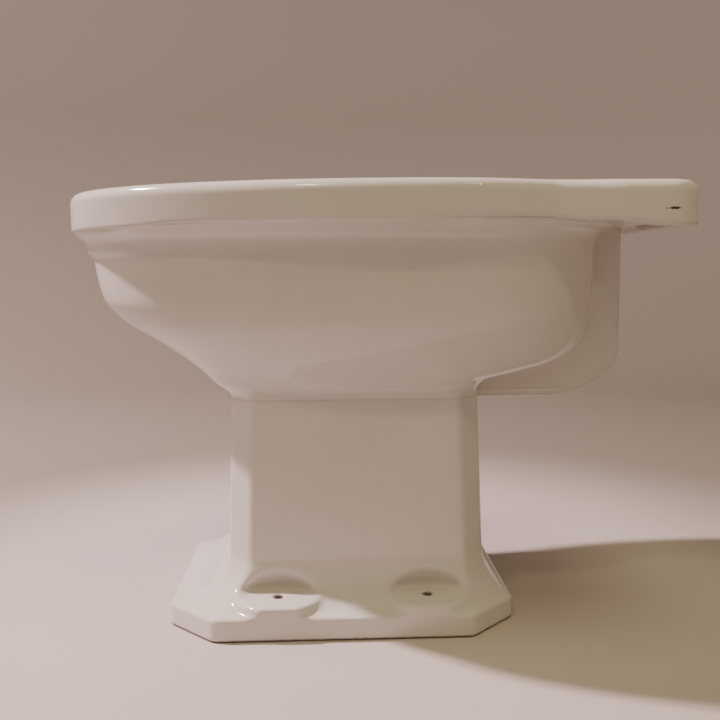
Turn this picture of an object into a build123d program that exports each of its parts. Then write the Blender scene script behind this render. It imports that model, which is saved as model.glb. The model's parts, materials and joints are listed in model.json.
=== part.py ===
from build123d import *
import math
import os

# Floor-standing pedestal bidet in glazed fireclay, with its waste fitting and trap.
# Millimetres. +Z is up, the rounded front points to -Y, the tap deck to +Y, and the
# origin is on the floor, under the middle of the rim.

# ---- overall -----------------------------------------------------------------
HEIGHT = 400.0
LENGTH = 563.0
WIDTH = 352.0
FRONT = -LENGTH / 2
BACK = LENGTH / 2

# ---- rim and tap deck --------------------------------------------------------
RIM_THICK = 34.0
RIM_BOTTOM = HEIGHT - RIM_THICK
RIM_WIDEST = 55.0
WAIST_Y = 160.0
WAIST_HALF = 158.0
DECK_HALF = 162.0
DECK_STRAIGHT_Y = 213.0
DECK_CORNER = 30.0
RIM_TOP_FILLET = 6.0
LIP_FILLET = 2.0
LIP_BOTTOM = 362.0
LIP_FRONT = 236.0
TAP_HOLE_R = 15.0
TAP_HOLE_X = 90.0
TAP_HOLE_Y = 251.0
POCKET_HALF = 144.0
POCKET_DEPTH = 14.0
POCKET_LIP = 13.0
POCKET_FRONT = 233.0

# ---- pedestal and foot -------------------------------------------------------
NECK_Z = 209.0
FOOT_TOP = 62.0
FOOT_EDGE = 19.5
FOOT_HALF = 132.9
FOOT_FRONT = -182.7
FOOT_BACK = 137.1
FOOT_CORNER = 43.8
COLUMN_CORNER = 21.5
WALL = 14.0
OPENING_HALF = 50.0
BOLT_X = 107.0
BOLT_FRONT_Y = -81.5
BOLT_BACK_Y = 54.5
BOLT_HOLE_R = 4.3
PAD_TOP = 30.0
PAD_LONG = 39.0
PAD_WIDE = 28.0
SCOOP_REACH = 17.0
SCOOP_LONG = 32.0
SCOOP_HIGH = 21.0

# ---- overflow channel --------------------------------------------------------
CHANNEL_HALF = 28.0
CHANNEL_BACK = 256.6
CHANNEL_WALL = 8.0
CHANNEL_FLOOR = 200.0
SLOT_Z = 338.0

# ---- waste, plug and trap ----------------------------------------------------
WASTE_Y = 43.0
WASTE_HOLE_R = 23.0
FLOOR_Z = 248.0
SEAT_Z = 245.0
BOSS_R = 38.0
BOSS_BOTTOM = 214.0
TAIL_R = 20.9
TAIL_BORE = 17.5
TAIL_BOTTOM = 166.0
FLANGE_R = 35.0
TUBE_R = 18.0
TUBE_BORE = 16.0
TRAP_R = 33.0
TRAP_TOP = 150.0
TRAP_JOINT = 104.0
CUP_BOTTOM = 66.0
OUTLET_Z = 134.0
PIPE_Y = -51.0
BEND_R = 27.0
PIPE_TOP = 95.0
PLUG_TOP = 254.0
EYE_HEIGHT = 6.0
EYE_R = 3.4
RING_R = 11.0
RING_WIRE = 1.2

OUTLINE_POINTS = 32


def save(name, shape):
    export_step(shape, f"parts/{name}.step")


def cylinder(radius, bottom, top, x=0.0, y=WASTE_Y):
    return Pos(x, y, (bottom + top) / 2) * Cylinder(radius, top - bottom)


def tube(outer, inner, bottom, top, x=0.0, y=WASTE_Y):
    return cylinder(outer, bottom, top, x, y) - cylinder(inner, bottom - 1, top + 1, x, y)


def box(x0, x1, y0, y1, z0, z1):
    centre = Pos((x0 + x1) / 2, (y0 + y1) / 2, (z0 + z1) / 2)
    return centre * Box(x1 - x0, y1 - y0, z1 - z0)


def egg(z, half, front, back, widest, front_power, back_power):
    """A level outline: round to the front, squarer to the back as its power rises."""
    points = []
    for i in range(OUTLINE_POINTS):
        turn = 2 * math.pi * i / OUTLINE_POINTS
        across, along = math.cos(turn), math.sin(turn)
        power = back_power if along > 0 else front_power
        reach = back - widest if along > 0 else widest - front
        x = half * math.copysign(abs(across) ** (2 / power), across)
        y = widest + reach * math.copysign(abs(along) ** (2 / power), along)
        points.append((x, y, z))
    return make_face(Spline(points, periodic=True))


def octagon(z, half, front, back, corner):
    """A rectangle with its four corners cut at 45 degrees."""
    points = [
        (half, front + corner, z),
        (half, back - corner, z),
        (half - corner, back, z),
        (corner - half, back, z),
        (-half, back - corner, z),
        (-half, front + corner, z),
        (corner - half, front, z),
        (half - corner, front, z),
    ]
    return make_face(Polyline(points, close=True))


def rim_outline():
    """Oval front, slight waist, then the straight-sided tap deck with round corners."""
    half = WIDTH / 2
    side = (half, RIM_WIDEST)
    quarter = EllipticalCenterArc((0, RIM_WIDEST), half, RIM_WIDEST - FRONT, start_angle=270, arc_size=90)
    deck_start = (DECK_HALF, DECK_STRAIGHT_Y)
    flank = Spline([side, (WAIST_HALF, WAIST_Y), deck_start], tangents=[(0, 1), (0, 1)])
    edge = Line(deck_start, (DECK_HALF, BACK - DECK_CORNER))
    corner = RadiusArc((DECK_HALF, BACK - DECK_CORNER), (DECK_HALF - DECK_CORNER, BACK), -DECK_CORNER)
    rear = Line((DECK_HALF - DECK_CORNER, BACK), (0, BACK))
    right = Curve() + [quarter, flank, edge, corner, rear]
    return make_face(Curve() + [right, mirror(right, Plane.YZ)])


# ---- fireclay castings -------------------------------------------------------
def bowl_outside():
    """Deep egg that draws in to the neck, with a cove flaring out under the rim."""
    rows = [
        (NECK_Z, 90, -126, 107, -9, 7.5, 7.5),
        (217, 92, -137, 109, -8, 6.5, 7),
        (224, 96, -145, 120, -4, 5, 5),
        (236, 107, -161, 175, 12, 3.8, 3.7),
        (250, 121, -181, 208, 30, 3.1, 3.0),
        (262, 131, -201, 218, 40, 2.8, 2.8),
        (280, 142, -233, 221, 48, 2.4, 2.8),
        (300, 147, -252, 221, 52, 2.2, 2.8),
        (336, 150, -260, 221, 53, 2.1, 2.8),
    ]
    body = loft([egg(*row) for row in rows])
    cove_rows = [
        (336, 150, -260, 221, 53, 2.1, 2.8),
        (345, 156, -266, 226, 53, 2.1, 2.8),
        (352, 157, -268, 227, 53, 2.1, 2.8),
        (359, 163, -273, 229, 54, 2.1, 2.8),
        (RIM_BOTTOM, 169, -277.5, 231, 55, 2.0, 2.8),
    ]
    return body + loft([egg(*row) for row in cove_rows], ruled=True)


def basin_inside():
    """Deep oval bowl, its walls smooth and its floor falling gently to the waste."""
    floor_rows = [
        (FLOOR_Z, 40, -12, 93, 43, 2, 2),
        (251, 66, -112, 148, 43, 2.2, 2.6),
        (256, 88, -162, 178, 43, 2.4, 2.8),
        (266, 108, -188, 196, 46, 2.4, 2.8),
    ]
    wall_rows = [
        (266, 108, -188, 196, 46, 2.4, 2.8),
        (284, 124, -218, 204, 49, 2.3, 2.8),
        (310, 133, -240, 206, 52, 2.2, 2.8),
        (RIM_BOTTOM, 135, -248, 206, 53, 2.1, 2.8),
    ]
    floor = loft([egg(*row) for row in floor_rows], ruled=True)
    return floor + loft([egg(*row) for row in wall_rows])


def rim_opening():
    rows = [
        (RIM_BOTTOM - 1, 134, -245, 200, 48, 2.1, 2.9),
        (RIM_BOTTOM + RIM_THICK / 2, 131, -241, 196, 48, 2.1, 2.9),
        (HEIGHT + 1, 133, -243, 198, 48, 2.1, 2.9),
    ]
    return loft([egg(*row) for row in rows])


def rim_deck():
    """Flat rim and tap deck, with a lip turned down round the back of the deck."""
    slab = extrude(Pos(0, 0, RIM_BOTTOM) * rim_outline(), RIM_THICK)
    deeper = extrude(Pos(0, 0, LIP_BOTTOM) * rim_outline(), RIM_BOTTOM - LIP_BOTTOM)
    slab += deeper & box(-WIDTH, WIDTH, LIP_FRONT, BACK + 1, LIP_BOTTOM, RIM_BOTTOM)
    slab = fillet(slab.edges().group_by(Axis.Z)[-1], RIM_TOP_FILLET)
    lip_edge = slab.edges().group_by(Axis.Z)[0].filter_by(lambda e: e.center().Y > LIP_FRONT + 1)
    slab = fillet(lip_edge, LIP_FILLET)
    slab -= rim_opening()
    opening_edge = slab.edges().group_by(Axis.Z)[-1]
    inner = [e for e in opening_edge if e.bounding_box().max.Y < 205]
    slab = fillet(inner, 5)
    inside_lip = box(-POCKET_HALF, POCKET_HALF, POCKET_FRONT, BACK - POCKET_LIP, LIP_BOTTOM - 1, RIM_BOTTOM)
    slab -= inside_lip
    for side in (-1, 1):
        slab -= deck_pocket(side)
        slab -= cylinder(TAP_HOLE_R, RIM_BOTTOM - 1, HEIGHT + 1, side * TAP_HOLE_X, TAP_HOLE_Y)
    slot = box(-22, 22, 232, CHANNEL_BACK - CHANNEL_WALL, RIM_BOTTOM - 1, RIM_BOTTOM + 6)
    return slab - slot


def deck_pocket(side):
    """The hollow under the deck, beside the overflow channel, inside a turned-down lip."""
    near = CHANNEL_HALF + 4
    width = POCKET_HALF - near
    depth = BACK - POCKET_LIP - POCKET_FRONT
    outline = RectangleRounded(width, depth, 9)
    centre = Pos(side * (near + width / 2), POCKET_FRONT + depth / 2, RIM_BOTTOM - 1)
    return centre * extrude(outline, POCKET_DEPTH + 1)


def overflow_duct_outline(inset):
    """Side outline of the channel: down the back, round the bend and in to the neck."""
    back = CHANNEL_BACK - inset
    floor = CHANNEL_FLOOR + inset
    front = 98.0
    outer_bend = [(back, 250), (234.6 - inset * 0.7, 214.5 + inset * 0.7), (182, floor)]
    path = [
        Line((front, RIM_BOTTOM), (back, RIM_BOTTOM)),
        Line((back, RIM_BOTTOM), outer_bend[0]),
        Spline(outer_bend, tangents=[(0, -1), (-1, 0)]),
        Line(outer_bend[-1], (front, floor)),
        Line((front, floor), (front, RIM_BOTTOM)),
    ]
    return Plane.YZ * make_face(Curve() + path)


def channel_void():
    return extrude(overflow_duct_outline(CHANNEL_WALL), CHANNEL_HALF - CHANNEL_WALL, both=True)


def overflow_channel(bowl_block, column_block):
    block = extrude(overflow_duct_outline(0), CHANNEL_HALF, both=True)
    sides = [e for e in block.edges() if abs(e.center().X) > CHANNEL_HALF - 1]
    rear_edges = [e for e in sides if e.center().Y > 200 and e.center().Z < RIM_BOTTOM - 1]
    block = fillet(rear_edges, 7)
    return block - channel_void() - bowl_block - column_block


def waste_boss():
    return cylinder(BOSS_R, BOSS_BOTTOM, 250)


def bowl():
    outside = bowl_outside()
    neck_hollow = loft([
        egg(NECK_Z - 1, 76, -112, 92, -9, 7, 7),
        egg(232, 80, -118, 95, -9, 5, 6),
    ])
    shell = outside - neck_hollow
    shell += waste_boss() & outside
    shell += box(-24, 24, WASTE_Y + 20, 100, BOSS_BOTTOM, 236)
    shell -= basin_inside()
    shell -= cylinder(FLANGE_R + 2, SEAT_Z, 262)
    shell -= cylinder(WASTE_HOLE_R, BOSS_BOTTOM - 10, 262)
    duct = box(-16, 16, WASTE_Y, 126, BOSS_BOTTOM + 3, 228)
    for x in (-18, 0, 18):
        slot = box(x - 5, x + 5, 190, 240, SLOT_Z - 4, SLOT_Z + 4)
        shell -= slot
    return shell - duct


def column_section(z):
    """The octagonal column narrows a little as it rises."""
    rise = (z - FOOT_TOP) / (NECK_Z - FOOT_TOP)
    return (z, 95 - 5 * rise, -129 + 4 * rise, 111.5 - 5 * rise, COLUMN_CORNER)


def shrink(section, amount):
    z, half, front, back, corner = section
    return (z, half - amount, front + amount, back - amount, corner - amount * 0.586)


def column_void(bottom, top):
    low = shrink(column_section(bottom), WALL)
    high = shrink(column_section(top), WALL)
    return loft([octagon(*low), octagon(*high)], ruled=True)


def service_opening():
    """Arched hole in the back of the column, to reach the trap."""
    sill = FOOT_TOP + 6
    spring = 122.0
    straight = Pos(0, (sill + spring) / 2) * Rectangle(2 * OPENING_HALF, spring - sill)
    arch = straight + Pos(0, spring) * Circle(OPENING_HALF)
    return extrude(Plane.XZ * arch, -BACK)


def pedestal():
    block = loft([octagon(*column_section(FOOT_TOP)), octagon(*column_section(NECK_Z))], ruled=True)
    upright = [e for e in block.edges() if e.length > 100 and abs(e.center().Z - NECK_Z) > 9]
    block = fillet(upright, 3)
    return block - column_void(FOOT_TOP - 1, NECK_Z + 1) - service_opening()


def foot_block():
    """Octagonal plinth with an upright edge and a hollow flare up to the column."""
    edge = (FOOT_HALF, FOOT_FRONT, FOOT_BACK, FOOT_CORNER)
    top = column_section(FOOT_TOP)[1:]
    plinth = extrude(octagon(0, *edge), FOOT_EDGE)
    flare = [(FOOT_EDGE, 0.0), (23, 0.28), (29, 0.53), (38, 0.75), (49, 0.9), (FOOT_TOP, 1.0)]
    sections = []
    for z, share in flare:
        level = [a + (b - a) * share for a, b in zip(edge, top)]
        sections.append(octagon(z, *level))
    for low, high in zip(sections, sections[1:]):
        plinth += loft([low, high], ruled=True)
    return plinth


def bolt_places():
    return [(side * BOLT_X, y) for side in (-1, 1) for y in (BOLT_FRONT_Y, BOLT_BACK_Y)]


def bolt_scoop(x, y):
    """Rounded hollow in the flare that leaves room over a pad for the bolt head."""
    stretch = (SCOOP_REACH / SCOOP_LONG, 1, SCOOP_HIGH / SCOOP_LONG)
    ball = Pos(x, y, PAD_TOP) * scale(Sphere(SCOOP_LONG), stretch)
    reach = SCOOP_LONG + 1
    return ball & box(x - reach, x + reach, y - reach, y + reach, PAD_TOP, PAD_TOP + reach)


def pedestal_foot():
    foot = foot_block()
    for x, y in bolt_places():
        foot -= bolt_scoop(x, y)
    outline = extrude(octagon(0, FOOT_HALF, FOOT_FRONT, FOOT_BACK, FOOT_CORNER), PAD_TOP)
    for x, y in bolt_places():
        pad = Pos(x, y, 0) * extrude(Ellipse(PAD_WIDE, PAD_LONG), PAD_TOP)
        foot += pad & outline
    foot -= column_void(-1, FOOT_TOP + 1)
    for x, y in bolt_places():
        foot -= cylinder(BOLT_HOLE_R, -1, PAD_TOP + 1, x, y)
    return foot


# ---- waste fitting -----------------------------------------------------------
def waste_flange():
    """Dished flange, threaded tail with overflow slots, and a cross to stop the plug."""
    dish = cylinder(FLANGE_R, SEAT_Z + 2, SEAT_Z + 5.5)
    dish = fillet(dish.edges().group_by(Axis.Z)[-1], 2)
    body = dish + cylinder(TAIL_R, TAIL_BOTTOM, SEAT_Z + 3)
    body -= cylinder(TAIL_BORE, TAIL_BOTTOM - 1, SEAT_Z + 6)
    seat = Pos(0, WASTE_Y, SEAT_Z + 0.25) * Cone(TAIL_BORE, TAIL_BORE + 3.5, 10.5)
    body -= seat
    for turn in (0, 90):
        bar = Rot(0, 0, turn) * Box(2 * TAIL_BORE + 1, 4, 3)
        body += Pos(0, WASTE_Y, 232) * bar
    for turn in (0, 90, 180, 270):
        slot = Rot(0, 0, turn) * (Pos(TAIL_R, 0, 0) * Box(10, 9, 9))
        body -= Pos(0, WASTE_Y, 222.5) * slot
    return body


def hex_nut(across_flats, hole, bottom, top):
    outline = RegularPolygon(across_flats / 2, 6, major_radius=False)
    block = Pos(0, WASTE_Y, bottom) * extrude(outline, top - bottom)
    rounding = cylinder(across_flats / 2 * 1.1, bottom, top)
    rounding = chamfer(rounding.edges(), 1.5)
    return (block & rounding) - cylinder(hole, bottom - 1, top + 1)


# ---- plug --------------------------------------------------------------------
def waste_plug():
    low_end = 236.0
    lip_bottom = PLUG_TOP - 3.2
    slope = 1 / 3
    wide_end = TAIL_BORE - 0.3 + (lip_bottom - SEAT_Z + 5) * slope
    thin_end = wide_end - (lip_bottom - low_end) * slope
    stopper = Pos(0, WASTE_Y, (low_end + lip_bottom) / 2) * Cone(thin_end, wide_end, lip_bottom - low_end)
    lip = cylinder(24, lip_bottom, PLUG_TOP)
    lip = fillet(lip.edges().group_by(Axis.Z)[-1], 1.2)
    return stopper + lip


def plug_eye():
    stem = cylinder(1.5, PLUG_TOP + 1.2, PLUG_TOP + EYE_HEIGHT - EYE_R + 0.6)
    button = cylinder(6, PLUG_TOP, PLUG_TOP + 1.4)
    loop = Pos(0, WASTE_Y, PLUG_TOP + EYE_HEIGHT) * Rot(0, 90, 0) * Torus(EYE_R, 1.2)
    return button + stem + loop


def plug_ring():
    """Pull ring through the eye, lying over with its free side on the plug."""
    drop = math.degrees(math.asin((EYE_HEIGHT - RING_WIRE - 0.3) / (2 * RING_R)))
    ring = Pos(0, RING_R, 0) * Torus(RING_R, RING_WIRE)
    return Pos(0, WASTE_Y, PLUG_TOP + EYE_HEIGHT) * Rot(-drop, 0, 0) * ring


# ---- trap --------------------------------------------------------------------
def union_nut(bottom, top, lip_first):
    """Ribbed slip nut whose lip, at one end, catches the collar of the tube it draws up."""
    hole = TAIL_R
    lip = 4.0
    nut = cylinder(hole + 6, bottom, top)
    nut = chamfer([e for e in nut.edges() if e.geom_type == GeomType.CIRCLE], 1.2)
    nut -= cylinder(TUBE_R, bottom - 1, top + 1)
    if lip_first:
        nut -= cylinder(hole, bottom + lip, top + 1)
    else:
        nut -= cylinder(hole, bottom - 1, top - lip)
    for i in range(12):
        rib = Rot(0, 0, 30 * i) * (Pos(hole + 6, 0, 0) * Box(3, 4, top - bottom - 4))
        nut += Pos(0, WASTE_Y, (bottom + top) / 2) * rib
    return nut


def lay_forward(shape):
    """Turn a fitting drawn on the waste axis so that its axis points to the front."""
    origin = Pos(0, -WASTE_Y, 0) * shape
    return Pos(0, WASTE_Y, OUTLET_Z) * Rot(90, 0, 0) * origin


def trap_body():
    bell = cylinder(TRAP_R, TRAP_JOINT + 12, TRAP_TOP)
    bell = fillet(bell.edges().group_by(Axis.Z)[-1], 6)
    bell += cylinder(TRAP_R - 4, TRAP_JOINT, TRAP_JOINT + 13)
    bell -= cylinder(TRAP_R - 7, TRAP_JOINT - 1, TRAP_TOP - 4)
    bell += cylinder(TUBE_R, 84, 161)
    bell += cylinder(TUBE_R + 2.6, 160, 163)
    bell -= cylinder(TUBE_BORE, 80, 164)
    arm = lay_forward(cylinder(TUBE_R - 1, TRAP_R - 9, 57)) + lay_forward(cylinder(TAIL_R, 39, 57))
    arm_bore = lay_forward(cylinder(TUBE_BORE - 2, TRAP_R - 9, 58))
    bell += arm - cylinder(TRAP_R - 5, 90, TRAP_TOP)
    return bell - (arm_bore - cylinder(TUBE_R + 1, 90, TRAP_TOP))


def trap_cup():
    cup = cylinder(TRAP_R + 3, CUP_BOTTOM + 10, TRAP_JOINT + 11.7)
    cup = chamfer(cup.edges().group_by(Axis.Z)[-1], 1)
    base = cylinder(TRAP_R, CUP_BOTTOM, CUP_BOTTOM + 11)
    cup += fillet(base.edges().group_by(Axis.Z)[0], 8)
    for i in range(18):
        rib = Rot(0, 0, 20 * i) * (Pos(TRAP_R + 3, 0, 0) * Box(2.4, 3, 18))
        cup += Pos(0, WASTE_Y, TRAP_JOINT) * rib
    cup -= cylinder(TRAP_R - 3.6, TRAP_JOINT - 3, TRAP_JOINT + 12)
    return cup - cylinder(TRAP_R - 6, CUP_BOTTOM + 5, TRAP_JOINT)


def bend_solid(radius):
    """Forward run, quarter bend and drop, as one round bar of the given radius."""
    centre = (0, PIPE_Y + BEND_R, OUTLET_Z - BEND_R)
    turn = Plane(origin=centre, x_dir=(0, 0, 1), z_dir=(1, 0, 0))
    quarter = turn * Torus(BEND_R, radius, major_angle=90, align=None)
    run = lay_forward(cylinder(radius, 60, WASTE_Y - PIPE_Y - BEND_R))
    drop = cylinder(radius, PIPE_TOP, OUTLET_Z - BEND_R, 0, PIPE_Y)
    return quarter + run + drop


def outlet_bend():
    """Bend from the trap's arm down to the pipe, with a collar and a socket."""
    socket = cylinder(TUBE_R + 4, PIPE_TOP - 20, PIPE_TOP + 3, 0, PIPE_Y)
    collar = lay_forward(cylinder(TUBE_R + 2.6, 60, 63))
    body = bend_solid(TUBE_R) + socket + collar - bend_solid(TUBE_BORE - 0.5)
    body -= cylinder(TUBE_R, PIPE_TOP - 21, PIPE_TOP, 0, PIPE_Y)
    return body - lay_forward(cylinder(TUBE_BORE - 0.5, 59, 61))


def build_castings():
    bowl_block = bowl_outside()
    column_block = loft([octagon(*column_section(FOOT_TOP)), octagon(*column_section(NECK_Z))], ruled=True)
    save("rim_deck", rim_deck())
    save("bowl", bowl())
    save("overflow_channel", overflow_channel(bowl_block, column_block))
    save("pedestal", pedestal())
    save("pedestal_foot", pedestal_foot())


def build_waste():
    save("waste_flange", waste_flange())
    save("waste_bedding_washer", tube(FLANGE_R - 1, TAIL_R, SEAT_Z, SEAT_Z + 2))
    save("waste_under_washer", tube(31, TAIL_R, BOSS_BOTTOM - 4, BOSS_BOTTOM))
    save("waste_backnut", hex_nut(60, TAIL_R, BOSS_BOTTOM - 14, BOSS_BOTTOM - 4))
    save("waste_plug", waste_plug())
    save("plug_eye", plug_eye())
    save("plug_ring", plug_ring())


def build_trap():
    save("trap_inlet_washer", tube(TAIL_R - 0.4, TUBE_BORE, 163, TAIL_BOTTOM))
    save("trap_inlet_nut", union_nut(156, 182, True))
    save("trap_body", trap_body())
    save("trap_cup_seal", tube(TRAP_R - 3.8, TRAP_R - 6.5, TRAP_JOINT - 3, TRAP_JOINT))
    save("trap_cup", trap_cup())
    save("trap_outlet_washer", lay_forward(tube(TUBE_R + 2.2, TUBE_BORE, 57, 60)))
    save("trap_outlet_nut", lay_forward(union_nut(42, 67, False)))
    save("outlet_bend", outlet_bend())
    save("drop_pipe", tube(TUBE_R, TUBE_BORE, 0, PIPE_TOP, 0, PIPE_Y))
    save("pipe_seal", tube(TUBE_R + 6, TUBE_R, PIPE_TOP - 24, PIPE_TOP - 20, 0, PIPE_Y))
    save("floor_collar", tube(TUBE_R + 16, TUBE_R, 0, 5, 0, PIPE_Y))


def main():
    os.makedirs("parts", exist_ok=True)
    build_castings()
    build_waste()
    build_trap()


main()
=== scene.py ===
import json
import math

import bmesh
import bpy
import numpy as np
import openvdb
from mathutils import Matrix, Vector


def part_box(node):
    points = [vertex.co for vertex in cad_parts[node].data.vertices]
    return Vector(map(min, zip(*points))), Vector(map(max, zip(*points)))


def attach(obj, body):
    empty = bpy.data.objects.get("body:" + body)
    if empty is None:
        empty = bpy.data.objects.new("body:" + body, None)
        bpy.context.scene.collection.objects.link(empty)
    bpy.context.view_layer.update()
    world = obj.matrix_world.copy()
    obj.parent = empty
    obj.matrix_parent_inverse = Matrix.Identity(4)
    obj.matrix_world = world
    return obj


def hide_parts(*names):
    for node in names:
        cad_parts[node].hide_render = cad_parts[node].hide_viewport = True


# A bare glazed fireclay pedestal bidet. The fireclay is one smooth glazed skin per casting
# group, drawn as signed distance fields in millimetres and meshed. The metal and rubber
# fittings are the frame's own solids with better materials. x runs across, y from front to
# back and z up from the floor.

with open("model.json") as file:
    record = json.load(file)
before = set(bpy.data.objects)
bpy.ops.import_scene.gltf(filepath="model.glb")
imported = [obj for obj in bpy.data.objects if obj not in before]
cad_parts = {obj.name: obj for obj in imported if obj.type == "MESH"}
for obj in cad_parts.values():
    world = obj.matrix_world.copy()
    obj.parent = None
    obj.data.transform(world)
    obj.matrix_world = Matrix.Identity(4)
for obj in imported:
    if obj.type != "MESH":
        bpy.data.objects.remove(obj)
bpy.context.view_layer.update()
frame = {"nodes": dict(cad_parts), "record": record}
MM = 0.001


def edges(node):
    """A node's box in millimetres: left, right, front, back, bottom, top."""
    low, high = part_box(node)
    return low[0] / MM, high[0] / MM, low[1] / MM, high[1] / MM, low[2] / MM, high[2] / MM


# ---- fields ------------------------------------------------------------------
def soft_min(a, b, k):
    h = np.maximum(k - np.abs(a - b), 0) / k
    return np.minimum(a, b) - h * h * k / 4


def soft_max(a, b, k):
    return -soft_min(-a, -b, k)


def glide(z, stations, values):
    """Monotone cubic through the stations, flat beyond the ends."""
    s, v = np.array(stations, float), np.array(values, float)
    step = np.diff(s)
    slope = np.diff(v) / step
    m = np.zeros_like(v)
    same = slope[:-1] * slope[1:] > 0
    w1, w2 = 2 * step[1:] + step[:-1], step[1:] + 2 * step[:-1]
    safe = np.where(same, slope[:-1], 1), np.where(same, slope[1:], 1)
    m[1:-1] = np.where(same, (w1 + w2) / (w1 / safe[0] + w2 / safe[1]), 0)
    z = np.clip(z, s[0], s[-1])
    i = np.clip(np.searchsorted(s, z) - 1, 0, len(step) - 1)
    h = step[i]
    t = (z - s[i]) / h
    a = (1 + 2 * t) * (1 - t) ** 2 * v[i] + t * (1 - t) ** 2 * h * m[i]
    return a + t * t * (3 - 2 * t) * v[i + 1] + t * t * (t - 1) * h * m[i + 1]


def egg(x, y, half, front, back, widest, front_power, back_power):
    """Level distance to an egg outline, round to the front and squarer to the back."""
    along = y - widest
    rear = along > 0
    power = np.where(rear, back_power, front_power)
    reach = np.where(rear, back - widest, widest - front)
    a = np.abs(x) / half + 1e-6
    b = np.abs(along) / reach + 1e-6
    total = a**power + b**power
    size = total ** (1 / power)
    pull = total ** (1 / power - 1) * np.hypot(a ** (power - 1) / half, b ** (power - 1) / reach)
    return (size - 1) / pull


def ellipse(a, b, half_a, half_b):
    """Close to the distance to an ellipse about the origin."""
    k0 = np.hypot(a / half_a, b / half_b)
    k1 = np.hypot(a / half_a**2, b / half_b**2) + 1e-9
    return k0 * (k0 - 1) / k1


def octagon(x, y, half, front, back, corner, k):
    """Level distance to a rectangle with its corners cut at 45 degrees, arrises eased by k."""
    across = np.abs(x) - half
    along = np.maximum(y - back, front - y)
    cut = (across + along + corner) / math.sqrt(2)
    return soft_max(soft_max(across, along, k), cut, k)


def slab(level, z, bottom, top, top_round, bottom_round):
    """A level outline between two heights, its edges rounded by two radii."""
    middle = (bottom + top) / 2
    height = np.abs(z - middle) - (top - bottom) / 2
    r = np.where(z > middle, top_round, bottom_round)
    a, b = level + r, height + r
    return np.minimum(np.maximum(a, b), 0) + np.hypot(np.maximum(a, 0), np.maximum(b, 0)) - r


def steepen(level, x, y, z):
    """Divide a stack of level outlines by its slope, which makes it close to a distance."""
    value = level(x, y, z)
    rise = (level(x, y, z + 0.5) - value) / 0.5
    return value / np.sqrt(1 + rise * rise)


def bar(x, y, z, low, high, r=1.0):
    """A box with its edges rounded by r."""
    parts = []
    for p, a, b in zip((x, y, z), low, high):
        parts.append(np.abs(p - (a + b) / 2) - (b - a) / 2 + r)
    outside = np.sqrt(sum(np.maximum(p, 0) ** 2 for p in parts))
    inside = np.minimum(np.maximum(np.maximum(parts[0], parts[1]), parts[2]), 0)
    return outside + inside - r


# ---- the object's places, from the frame -------------------------------------
LEFT, RIGHT, FRONT, BACK, LIP_BOTTOM, TOP = edges("rim_deck")
RIM_BOTTOM = edges("bowl")[5]
NECK_Z = edges("bowl")[4]
CHANNEL = edges("overflow_channel")
FOOT = edges("pedestal_foot")
FLANGE = edges("waste_flange")
WASTE_Y = (FLANGE[2] + FLANGE[3]) / 2
# Outlines are given as half width, front and back, then a cut corner, or the widest place and
# the powers of the front and back curves.
NECK = (90.2, -125.0, 106.5, 21.5)
NECK_ROOM = (76, -113, 93, -9, 7, 7)
RIM_OPENING = (132, -242, 197, 48, 2.1, 2.9)
FOOT_EDGE = 19.5
FOOT_CORNER = 43.8
SINK = 5.0  # how far a skin runs inside the next one
WIDEST_Y = 55
BASIN_FLOOR = 248
DECK_CORNER = 30
LIP_WIDE = 13
POCKET_FRONT, POCKET_INNER, POCKET_OUTER, POCKET_DEPTH = 236, 32, 144, 14
CHANNEL_WALL, CHANNEL_DEPTH = 8, 26
DUCT_FRONT = 232
BEND_LONG, BEND_HIGH = 74, 50
SLOT_PLACES, SLOT_HALF, SLOT_BOTTOM, SLOT_TOP = (-18, 0, 18), 5, 334, 342
BOSS_R, BOSS_BOTTOM = 38, 214
WASTE_HOLE_R = 23
NECK_ROOM_TOP = 232
PEDESTAL_WALL = 14
ARCH_HALF, ARCH_SPRING, ARCH_SILL = 50, 122, 68
PAD_ACROSS, PAD_ALONG = 29.3, 36.5
SCOOP_ACROSS, SCOOP_ALONG, SCOOP_HIGH = 20, 34, 22
mounts = {m["name"]: m for m in frame["record"]["mounts"]}
SCREWS = mounts["floor_screws"]
SCREW_X, SCREW_Y = SCREWS["dims"]["spacing_x_mm"] / 2, SCREWS["dims"]["spacing_y_mm"] / 2
SCREW_MIDDLE = SCREWS["pos_m"][1] / MM
PAD_TOP = SCREWS["pos_m"][2] / MM
TAP = mounts["tap_hole_right"]
CHIP = (RIGHT - 14.5, BACK - 30, TOP - 24.5)  # a dark chip in the deck's right side


def roll(distance, r=12.0):
    """How far a skin has rolled in, a distance past the point where it starts to."""
    return np.maximum(distance, 0) ** 2 / (2 * r)


def neck_level(x, y):
    half, front, back, corner = NECK
    return octagon(x, y, half, front, back, corner, 3.5)


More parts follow.
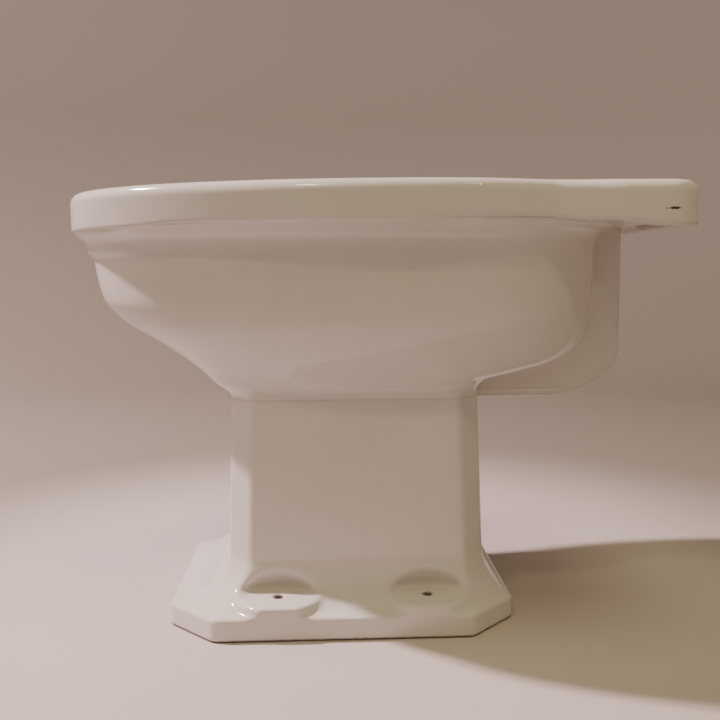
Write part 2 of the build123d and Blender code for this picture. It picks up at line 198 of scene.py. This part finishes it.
def bowl_level(x, y, z):
    """The bowl's outside: a deep egg that draws in to the octagonal neck, coved under the rim."""
    above, blend_height = z - NECK_Z, 15
    heights = [0, 8, 15, 23, 31, 41, 53, 71, 91, 116, 129]
    half = glide(above, heights, [90.5, 92, 96, 103, 111, 121, 131, 142, 147, 149.5, 150])
    front = glide(above, heights, [-127, -137, -145, -155, -166, -181, -201, -233, -252, -259, -260.5])
    back = glide(above, heights, [107, 109.5, 120, 158, 190, 208, 218, 221, 221, 221, 221])
    widest = glide(above, heights, [-9, -8, -4, 6, 18, 30, 40, 48, 52, 53, 53])
    front_power = glide(above, heights, [7.5, 6.5, 5, 4, 3.5, 3.1, 2.8, 2.4, 2.2, 2.1, 2.1])
    back_power = glide(above, heights, [7.5, 7, 5, 4, 3.4, 3.0, 2.8, 2.8, 2.8, 2.8, 2.8])
    body = egg(x, y, half, front, back, widest, front_power, back_power)
    share = np.clip(above / blend_height, 0, 1)
    share = share * share * (3 - 2 * share)
    body = neck_level(x, y) * (1 - share) + body * share
    stations = [-28, -24.5, -21.5, -14, -9, -5, 0, 6]
    stepped = glide(z - RIM_BOTTOM, stations, [0, 4, 6, 7, 11.5, 17, 21, 22])
    plain = glide(z - RIM_BOTTOM, stations, [0, 0.1, 0.3, 1.6, 5, 10.5, 20.5, 22])
    side = glide(y, [FRONT, -238, -190, BACK], [0, 0, 1, 1])
    cove, rim_set_back = stepped + (plain - stepped) * side, 1.6
    return soft_max(body - cove, rim_level(x, y) + rim_set_back, 2)


def basin_level(x, y, z):
    """The basin's inside: an egg that closes in quickly to a small level floor."""
    rise = z - BASIN_FLOOR
    heights = [0, 3, 8, 18, 36, 62, 118]
    half = glide(rise, heights, [40, 66, 88, 108, 124, 133, 135])
    front = glide(rise, heights, [-12, -112, -162, -188, -218, -240, -248])
    back = glide(rise, heights, [93, 148, 178, 196, 204, 206, 206])
    widest = glide(rise, heights, [43, 43, 43, 46, 49, 52, 53])
    front_power = glide(rise, heights, [2, 2.2, 2.4, 2.4, 2.3, 2.2, 2.1])
    back_power = glide(rise, heights, [2, 2.6, 2.8, 2.8, 2.8, 2.8, 2.8])
    body = egg(x, y, half, front, back, widest, front_power, back_power)
    return soft_max(body, BASIN_FLOOR - z, 3)


def rim_level(x, y):
    """Oval front, slight waist, then the straight-sided deck with rounded corners."""
    corner = DECK_CORNER
    oval = ellipse(x, np.minimum(y - WIDEST_Y, 0), RIGHT, WIDEST_Y - FRONT)
    flank = [WIDEST_Y, 88, 118, 142, 160, 186, 213, BACK]
    narrower = [0, 2, 8, 14.5, 18, 17, 14, 14]
    wide = [RIGHT - n for n in narrower]
    side = np.abs(x) - glide(y, flank, wide)
    lean = (glide(y + 1, flank, wide) - glide(y - 1, flank, wide)) / 2
    side = side / np.sqrt(1 + lean * lean)
    a, b = side + corner, y - BACK + corner
    deck = np.minimum(np.maximum(a, b), 0) + np.hypot(np.maximum(a, 0), np.maximum(b, 0)) - corner
    return np.where(y < WIDEST_Y, oval, deck)


def rim_field(x, y, z):
    """The rim and deck, a shallow lip round the deck, two hollows and two tap holes."""
    lip = LIP_BOTTOM - RIM_BOTTOM
    along = [FRONT, -210, -155, 30, 80, 145, 182, 205, 250]
    sag = glide(y, along, [-2.6, -2.4, 0, 0, 2.6, 2.8, 0.6, 0, lip])
    rim = slab(rim_level(x, y), z, RIM_BOTTOM + sag, TOP, 10, 2)
    rim = soft_max(rim, -egg(x, y, *RIM_OPENING), 9)
    far, below, roof = BACK - LIP_WIDE, LIP_BOTTOM - 20, RIM_BOTTOM + POCKET_DEPTH
    between = bar(x, y, z, (-60, POCKET_FRONT, below), (60, far, RIM_BOTTOM), 3)
    rim = soft_max(rim, -between, 2)
    for side in (-1, 1):
        pocket = bar(x * side, y, z, (POCKET_INNER, POCKET_FRONT, below), (POCKET_OUTER, far, roof), 8)
        rim = soft_max(rim, -pocket, 3)
        px, py = TAP["pos_m"][0] / MM * side, TAP["pos_m"][1] / MM
        bore = np.hypot(x - px, y - py) - TAP["dims"]["r_mm"]
        rim = soft_max(rim, -bore, 2.5)
    return rim


def channel_shape(y, z, inset):
    """Side outline of the overflow channel: down the back, round the bend, in to the neck."""
    long, high = BEND_LONG - inset, BEND_HIGH - inset
    a = y - (CHANNEL[3] - inset - long)
    b = CHANNEL[4] + inset + high - z
    bend = ellipse(a, b, long, high)
    return np.where((a > 0) & (b > 0), bend, np.maximum(a - long, b - high))


def channel_field(x, y, z):
    """The channel, flaring a little where it meets the neck."""
    flare_start, hidden_end = 118, 100
    flare = np.minimum(roll(flare_start - y, 10), 6)
    block = soft_max(channel_shape(y, z, 0), np.abs(x) - CHANNEL[1], 10) - flare
    return np.maximum(np.maximum(block, hidden_end - y), z - RIM_BOTTOM - 2)


def bowl_field(x, y, z):
    """The bowl and channel, with the basin, the room in the neck, the duct and its slots cut out."""
    outside = steepen(bowl_level, x, y, z) + roll(NECK_Z + 2 - z)
    outside = np.maximum(outside, NECK_Z - SINK - z)
    outside = soft_min(outside, channel_field(x, y, z), 9)
    outside = np.maximum(outside, z - RIM_BOTTOM - SINK)
    inside = steepen(basin_level, x, y, z)
    seat = np.maximum(np.hypot(x, y - WASTE_Y) - FLANGE[1] - 2, FLANGE[5] - 5.5 - z)
    inside = soft_min(inside, seat, 2)
    neck_room = slab(egg(x, y, *NECK_ROOM), z, NECK_Z - 30, NECK_ROOM_TOP, 10, 10)
    boss = np.hypot(x, y - WASTE_Y) - BOSS_R
    neck_room = soft_max(neck_room, -soft_max(boss, BOSS_BOTTOM - z, 2), 6)
    bridge = bar(x, y, z, (-24, WASTE_Y, BOSS_BOTTOM), (24, 130, 260), 3)
    neck_room = soft_max(neck_room, -bridge, 4)
    duct = np.maximum(channel_shape(y, z, CHANNEL_WALL), np.abs(x) - CHANNEL[1] + CHANNEL_WALL)
    duct = np.maximum(duct, -channel_shape(y, z, CHANNEL_DEPTH))
    duct = np.maximum(duct, DUCT_FRONT - y)
    hole = np.hypot(x, y - WASTE_Y) - WASTE_HOLE_R
    slots = 1e3
    for place in SLOT_PLACES:
        low, high = (place - SLOT_HALF, 190, SLOT_BOTTOM), (place + SLOT_HALF, 242, SLOT_TOP)
        slots = np.minimum(slots, bar(x, y, z, low, high, 4))
    void = np.minimum(np.minimum(inside, neck_room), np.minimum(hole, duct))
    body = soft_max(outside, -void, 1.5)
    return soft_max(body, -slots, 2)


def column_level(z):
    """Half width, front, back and corner of the column, which narrows as it rises."""
    rise = (z - FOOT[5]) / (NECK_Z - FOOT[5])
    return NECK[0] + 4.8 * (1 - rise), NECK[1] - 4 * (1 - rise), NECK[2] + 5 * (1 - rise), NECK[3]


def pedestal_outside(x, y, z):
    """The foot's outline below, drawn in to the column's by a hollow flare."""
    t = np.clip((z - FOOT_EDGE) / (FOOT[5] - FOOT_EDGE), 0, 1)
    share = glide(t, [0, 0.08, 0.22, 0.43, 0.69, 1], [0, 0.3, 0.55, 0.77, 0.92, 1])
    foot = (FOOT[1], FOOT[2], FOOT[3], FOOT_CORNER)
    mix = [a + (b - a) * share for a, b in zip(foot, column_level(z))]
    return octagon(x, y, *mix, 3.5)


def screw_pads(x, y, z):
    """Four raised oval pads on the foot, the scoops over them and the screw holes."""
    pads, scoops, holes = 1e3, 1e3, 1e3
    for row in (-1, 1):
        qx, qy = np.abs(x) - SCREW_X, y - SCREW_MIDDLE - row * SCREW_Y
        pads = np.minimum(pads, ellipse(qx, qy, PAD_ACROSS, PAD_ALONG))
        behind = np.minimum(qx, 0)
        level = (behind / SCOOP_ACROSS) ** 2 + (qy / SCOOP_ALONG) ** 2
        scoop = np.sqrt(level + ((z - PAD_TOP) / SCOOP_HIGH) ** 2)
        scoops = np.minimum(scoops, (scoop - 1) * SCOOP_HIGH)
        holes = np.minimum(holes, np.hypot(qx, qy) - SCREWS["dims"]["hole_r_mm"])
    pads = soft_max(pads, z - PAD_TOP, 4)
    scoops = soft_max(scoops, PAD_TOP - z, 7)
    return pads, scoops, holes


def pedestal_field(x, y, z):
    """Column and foot, open underneath, with an arched opening at the back for the plumber."""
    body = steepen(pedestal_outside, x, y, z) + roll(z - NECK_Z + 2)
    body = soft_max(body, z - NECK_Z - SINK, 1)
    pads, scoops, holes = screw_pads(x, y, z)
    edge = octagon(x, y, FOOT[1], FOOT[2], FOOT[3], FOOT_CORNER, 3)
    body = soft_max(body, -scoops, 7)
    body = np.maximum(soft_min(body, pads, 8), edge)
    body = soft_max(body, -z, 1)
    half, front, back, corner = column_level(z)
    wall, eased = PEDESTAL_WALL, 8.2
    hollow = octagon(x, y, half - wall, front + wall, back - wall, corner - eased, 6)
    above = np.hypot(x, z - ARCH_SPRING) - ARCH_HALF
    below = np.maximum(np.abs(x) - ARCH_HALF, ARCH_SILL - z)
    arch = np.where(z > ARCH_SPRING, above, below)
    arch = np.maximum(arch, -y)
    body = soft_max(body, -hollow, 2)
    body = soft_max(body, -arch, 3)
    return soft_max(body, -holes, 1.5)


# ---- meshing -----------------------------------------------------------------
def gradient(field, p, e=0.05):
    sides = []
    for axis in range(3):
        step = np.zeros(3)
        step[axis] = e
        up, down = p + step, p - step
        sides.append((field(*up.T) - field(*down.T)) / (2 * e))
    return np.stack(sides, axis=1)


def settle(field, p, rounds, cap):
    """Move points on to the surface along the field's slope."""
    for _ in range(rounds):
        g = gradient(field, p)
        push = field(*p.T)[:, None] * g / np.maximum((g * g).sum(1), 0.05)[:, None]
        length = np.linalg.norm(push, axis=1)[:, None]
        p = p - push * np.minimum(1, cap / np.maximum(length, 1e-9))
    return p


def even_out(p, quads, field, rounds):
    """Slide points along the surface towards their neighbours' middle."""
    count = np.zeros(len(p))
    pairs = np.concatenate([quads[:, [i, (i + 1) % 4]] for i in range(4)])
    np.add.at(count, pairs[:, 0], 1)
    np.add.at(count, pairs[:, 1], 1)
    for _ in range(rounds):
        total = np.zeros_like(p)
        np.add.at(total, pairs[:, 0], p[pairs[:, 1]])
        np.add.at(total, pairs[:, 1], p[pairs[:, 0]])
        g = gradient(field, p)
        n = g / np.linalg.norm(g, axis=1)[:, None]
        move = total / count[:, None] - p
        move -= (move * n).sum(1)[:, None] * n
        p = settle(field, p + 0.6 * move, 1, 0.5)
    return p


def mesh_field(name, field, low, high, cell):
    """Mesh a field between two corners, all in millimetres, as a smooth closed piece."""
    axes = [np.arange(a, b + cell, cell) for a, b in zip(low, high)]
    x, y, z = np.meshgrid(*axes, indexing="ij", sparse=True)
    values = np.asarray(field(x, y, z), dtype=np.float32)
    grid = openvdb.FloatGrid(10.0)
    grid.copyFromArray(np.clip(values, -10, 10))
    points, quads = grid.convertToQuads(0.0)
    p = np.asarray(points, float) * cell + np.array(low)
    quads = np.asarray(quads)[:, ::-1].astype(int)
    p = settle(field, p, 3, cell)
    p = even_out(p, quads, field, 3)
    p = settle(field, p, 2, 0.5)
    mesh = bpy.data.meshes.new(name)
    mesh.from_pydata((p * MM).tolist(), [], quads.tolist())
    mesh.polygons.foreach_set("use_smooth", [True] * len(mesh.polygons))
    piece = bpy.data.objects.new(name, mesh)
    bpy.context.scene.collection.objects.link(piece)
    print("PIECE", name, len(p), len(quads))
    return piece


def make_fireclay():
    """The three skins; each runs a little way inside the next, so no edge shows."""
    coarse = 1.0
    low, high = (LEFT - 5, FRONT - 5, LIP_BOTTOM - 5), (RIGHT + 5, BACK + 5, TOP + 5)
    rim = mesh_field("glazed_rim", rim_field, low, high, 2.2 * coarse)
    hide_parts("rim_deck")
    low, high = (-185, FRONT - 5, CHANNEL[4] - 5), (185, CHANNEL[3] + 5, RIM_BOTTOM + SINK + 4)
    bowl = mesh_field("glazed_bowl", bowl_field, low, high, 2.8 * coarse)
    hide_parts("bowl", "overflow_channel")
    low, high = (FOOT[0] - 6, FOOT[2] - 6, -6), (FOOT[1] + 6, FOOT[3] + 6, NECK_Z + SINK + 5)
    base = mesh_field("glazed_pedestal", pedestal_field, low, high, 2.4 * coarse)
    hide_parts("pedestal", "pedestal_foot")
    return rim, bowl, base


# ---- materials ---------------------------------------------------------------
class Nodes:
    """Short ways to add and join a material's nodes."""

    def __init__(self, name):
        self.material = bpy.data.materials.new(name)
        self.material.use_nodes = True
        self.tree = self.material.node_tree
        self.shader = self.tree.nodes["Principled BSDF"]
        self.place = self.add("ShaderNodeTexCoord").outputs["Object"]
        self.axes = self.add("ShaderNodeSeparateXYZ", Vector=self.place).outputs

    def add(self, kind, **inputs):
        node = self.tree.nodes.new(kind)
        for name, value in inputs.items():
            self.feed(node.inputs[name.replace("_", " ")], value)
        return node

    def feed(self, socket, value):
        if isinstance(value, bpy.types.NodeSocket):
            self.tree.links.new(value, socket)
        else:
            socket.default_value = value

    def math(self, operation, a, b=0.0):
        node = self.tree.nodes.new("ShaderNodeMath")
        node.operation = operation
        self.feed(node.inputs[0], a)
        self.feed(node.inputs[1], b)
        return node.outputs[0]

    def noise(self, scale, detail=3.0, roughness=0.55):
        node = self.add("ShaderNodeTexNoise", Vector=self.place, Scale=scale, Detail=detail)
        node.inputs["Roughness"].default_value = roughness
        return node.outputs["Factor"] if "Factor" in node.outputs else node.outputs["Fac"]

    def fade(self, value, start, end, low=0.0, high=1.0):
        """Smoothly from low at start to high at end."""
        node = self.add("ShaderNodeMapRange", Value=value, From_Min=start, From_Max=end)
        self.feed(node.inputs["To Min"], low)
        self.feed(node.inputs["To Max"], high)
        node.interpolation_type = "SMOOTHSTEP"
        return node.outputs["Result"]

    def near(self, centre, sizes):
        """Distance from a point, in units of an ellipsoid's three half sizes."""
        total = None
        for axis, middle, size in zip(self.axes, centre, sizes):
            part = self.math("MULTIPLY", self.math("SUBTRACT", axis, middle * MM), 1 / (size * MM))
            part = self.math("MULTIPLY", part, part)
            total = part if total is None else self.math("ADD", total, part)
        return self.math("SQRT", total)

    def blend(self, amount, a, b):
        node = self.tree.nodes.new("ShaderNodeMix")
        node.data_type = "RGBA"
        self.feed(node.inputs["Factor"], amount)
        for socket, colour in ((node.inputs[6], a), (node.inputs[7], b)):
            self.feed(socket, (*colour, 1) if isinstance(colour, tuple) else colour)
        return node.outputs[2]

    def bump(self, height, distance, under=None):
        node = self.add("ShaderNodeBump", Height=height, Distance=distance, Strength=1.0)
        if under is not None:
            self.feed(node.inputs["Normal"], under)
        return node.outputs["Normal"]

    def shade(self, **inputs):
        for name, value in inputs.items():
            self.feed(self.shader.inputs[name.replace("_", " ")], value)
        return self.material


def backdrop():
    """Pale round the object, darker from three quarters of a metre away."""
    paint = Nodes("pale_backdrop")
    tone = paint.blend(paint.fade(paint.noise(3.0), 0.3, 0.7), (0.56, 0.51, 0.485), (0.54, 0.49, 0.465))
    metre = 1000
    far = paint.near((0, 0, 0), (metre, metre, metre))
    tone = paint.blend(paint.fade(far, 0.3, 0.75), tone, (0.24, 0.22, 0.18))
    return paint.shade(Base_Color=tone, Roughness=0.7)


def glaze():
    """Old cream-white glaze: gently rippled, a little uneven in tone, with painted shade where it meets
    things: along the neck crease, along the floor and in the screw holes, which hold some dirt too.
    """
    skin = Nodes("cream_glaze")
    cloud = skin.fade(skin.noise(7.0, 4.0), 0.35, 0.68)
    tone = skin.blend(cloud, (0.70, 0.685, 0.66), (0.665, 0.65, 0.615))
    warm = skin.fade(skin.noise(2.2, 2.0), 0.5, 0.75, 0.0, 0.35)
    tone = skin.blend(warm, tone, (0.675, 0.65, 0.575))
    # Painted contact shade, with some dirt: a near-black ragged line along the bottom two millimetres,
    # where the foot meets the floor.
    grain = skin.noise(420.0, 2.0)
    ragged = skin.math("MULTIPLY", skin.math("SUBTRACT", grain, 0.5), 1.6 * MM)
    height = skin.math("ADD", skin.axes[2], ragged)
    # Painted shade: a faint darker line along the crease where the bowl meets the pedestal.
    neck_crease_shade = skin.math("ABSOLUTE", skin.math("SUBTRACT", skin.axes[2], NECK_Z * MM))
    tone = skin.blend(skin.fade(neck_crease_shade, 1.6 * MM, 0, 0, 0.22), tone, (0.42, 0.36, 0.28))
    tone = skin.blend(skin.fade(height, 2.4 * MM, 0.6 * MM, 0, 0.85), tone, (0.10, 0.075, 0.05))
    wear = skin.fade(skin.noise(900.0, 1.0), 0.40, 0.62)
    # Dirt and painted shade: each screw hole is darkened almost to black.
    for x, y in screw_places():
        hole_dirt_and_shade = skin.near((x, y, PAD_TOP - 14), (4.9, 4.9, 40))
        tone = skin.blend(skin.fade(hole_dirt_and_shade, 1.05, 0.9, 0, 0.9), tone, (0.07, 0.05, 0.035))
    blot = skin.math("ADD", skin.near(CHIP, (3, 5.0, 1.3)), skin.math("MULTIPLY", wear, 0.45))
    chip = skin.fade(blot, 1.25, 0.85)
    tail = skin.math("ADD", skin.near((CHIP[0], CHIP[1] - 6.5, CHIP[2] - 0.2), (3, 1.8, 0.9)), wear)
    chip = skin.math("MAXIMUM", chip, skin.fade(tail, 1.3, 0.8, 0, 0.6))
    tone = skin.blend(chip, tone, (0.035, 0.025, 0.018))
    ripple = skin.bump(skin.noise(16.0, 2.0, 0.4), 0.35 * MM)
    peel = skin.bump(skin.noise(240.0, 2.0), 0.012 * MM, ripple)
    gloss = skin.fade(skin.noise(30.0, 4.0), 0.3, 0.75, 0.07, 0.13)
    gloss = skin.math("MAXIMUM", gloss, skin.math("MULTIPLY", chip, 0.8))
    skin.shader.inputs["IOR"].default_value = 1.52
    return skin.shade(Base_Color=tone, Roughness=gloss, Normal=peel)


def screw_places():
    return [(sx * SCREW_X, SCREW_MIDDLE + sy * SCREW_Y) for sx in (-1, 1) for sy in (-1, 1)]


def chrome():
    plate = Nodes("worn_chrome")
    haze = plate.noise(90.0, 4.0)
    tone = plate.blend(plate.fade(haze, 0.45, 0.75), (0.80, 0.80, 0.80), (0.62, 0.60, 0.56))
    gloss = plate.fade(haze, 0.3, 0.8, 0.09, 0.30)
    scratches = plate.bump(plate.noise(900.0, 2.0), 0.01 * MM)
    plate.shader.inputs["Metallic"].default_value = 1.0
    return plate.shade(Base_Color=tone, Roughness=gloss, Normal=scratches)


def brass():
    cast = Nodes("aged_brass")
    stain = cast.fade(cast.noise(60.0, 5.0), 0.35, 0.7)
    tone = cast.blend(stain, (0.72, 0.50, 0.22), (0.36, 0.23, 0.11))
    green = cast.fade(cast.noise(35.0, 5.0), 0.62, 0.74, 0, 0.7)
    tone = cast.blend(green, tone, (0.16, 0.28, 0.20))
    gloss = cast.math("MAXIMUM", cast.math("MULTIPLY", green, 0.9), cast.fade(stain, 0, 1, 0.26, 0.48))
    pits = cast.bump(cast.noise(700.0, 3.0), 0.04 * MM)
    metal = cast.fade(green, 0, 0.5, 1.0, 0.2)
    return cast.shade(Base_Color=tone, Roughness=gloss, Metallic=metal, Normal=pits)


def rubber():
    moulded = Nodes("black_rubber")
    bloom = moulded.fade(moulded.noise(70.0, 5.0), 0.45, 0.75)
    tone = moulded.blend(bloom, (0.022, 0.022, 0.023), (0.075, 0.072, 0.068))
    grain = moulded.bump(moulded.noise(1500.0, 2.0), 0.02 * MM)
    return moulded.shade(Base_Color=tone, Roughness=moulded.fade(bloom, 0, 1, 0.5, 0.8), Normal=grain)


def finish_fittings():
    """The metal and rubber nodes keep their own shape and take these materials."""
    finishes = {"chromed_brass": chrome(), "brass": brass(), "rubber_black": rubber()}
    for part in frame["record"]["subparts"]:
        finish = finishes.get(part["material_slot"])
        if finish is None:
            continue
        for place in frame["nodes"][part["node"]].material_slots:
            place.material = finish


# ---- stage, light and camera -------------------------------------------------
def make_stage():
    """A round seamless cove: level floor, quarter-round turn, upright wall."""
    flat, turn, top, around, steps = 1.6, 0.9, 2.7, 96, 12
    profile = [(0.0, 0.0), (flat * 0.5, 0.0), (flat, 0.0)]
    for i in range(1, steps + 1):
        angle = math.radians(90 * i / steps)
        profile.append((flat + turn * math.sin(angle), turn * (1 - math.cos(angle))))
    profile.append((flat + turn, top))
    shape = bmesh.new()
    rings = []
    for radius, height in profile[1:]:
        turns = [2 * math.pi * k / around for k in range(around)]
        rings.append([shape.verts.new((radius * math.cos(t), radius * math.sin(t), height)) for t in turns])
    shape.faces.new(rings[0])
    for inner, outer in zip(rings, rings[1:]):
        for k in range(around):
            n = (k + 1) % around
            shape.faces.new((inner[k], outer[k], outer[n], inner[n]))
    mesh = bpy.data.meshes.new("studio_cove")
    shape.to_mesh(mesh)
    shape.free()
    mesh.polygons.foreach_set("use_smooth", [True] * len(mesh.polygons))
    mesh.materials.append(backdrop())
    cove = bpy.data.objects.new("studio_cove", mesh)
    cove.location = (0, 0, -0.0004)
    bpy.context.scene.collection.objects.link(cove)


def area_light(name, place, target, size, power, colour):
    data = bpy.data.lights.new(name, "AREA")
    data.shape = "ELLIPSE"
    data.size, data.size_y = size
    data.energy = power
    data.color = colour
    lamp = bpy.data.objects.new(name, data)
    lamp.location = place
    lamp.rotation_euler = (Vector(target) - Vector(place)).to_track_quat("-Z", "Y").to_euler()
    bpy.context.scene.collection.objects.link(lamp)
    return lamp


def make_lights():
    area_light("ceiling_lamp", (-0.42, -1.96, 2.43), (0, 0, 0.1), (0.13, 0.13), 186, (1.0, 0.75, 0.78))
    area_light("lamp_front", (1.19, -0.60, 2.03), (0.1, 0, 0.3), (0.17, 0.10), 5.0, (1.0, 0.86, 0.46))
    area_light("lamp_back", (1.18, 0.75, 2.00), (0.1, 0, 0.3), (0.11, 0.08), 3.3, (1.0, 0.86, 0.46))
    above = area_light("room_above", (0.5, 0.35, 2.5), (0, 0, 0.2), (1.0, 1.0), 18, (1.0, 0.86, 0.52))
    above.visible_glossy = False
    room = area_light("room", (1.9, 0.2, 1.15), (0, 0, 0.2), (0.7, 0.5), 1.6, (1.0, 0.86, 0.46))
    room.visible_glossy = False
    world = bpy.data.worlds.new("room_air")
    bpy.context.scene.world = world
    world.use_nodes = True
    air = world.node_tree.nodes["Background"]
    air.inputs["Color"].default_value = (1.0, 0.86, 0.55, 1)
    air.inputs["Strength"].default_value = 0.05


CAMERA_PLACE = (0.8558, -0.0366, 0.3248)
CAMERA_YAW = 2.348
CAMERA_PITCH = 5.928
CAMERA_ROLL = -0.3566
CAMERA_LENS = 42.43


def make_camera():
    data = bpy.data.cameras.new("photo_view")
    data.sensor_width = 36
    data.lens = CAMERA_LENS
    camera = bpy.data.objects.new("photo_view", data)
    yaw, pitch = math.radians(CAMERA_YAW), math.radians(CAMERA_PITCH)
    ahead = Vector((-math.cos(yaw) * math.cos(pitch), math.sin(yaw) * math.cos(pitch), -math.sin(pitch)))
    aim = ahead.to_track_quat("-Z", "Y").to_matrix().to_4x4()
    tilt = Matrix.Rotation(math.radians(CAMERA_ROLL), 4, "Z")
    camera.matrix_world = Matrix.Translation(CAMERA_PLACE) @ aim @ tilt
    bpy.context.scene.collection.objects.link(camera)
    bpy.context.scene.camera = camera


make_camera()
make_stage()
make_lights()
finish_fittings()
skin = glaze()
for piece in make_fireclay():
    piece.data.materials.append(skin)
    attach(piece, "fixture")
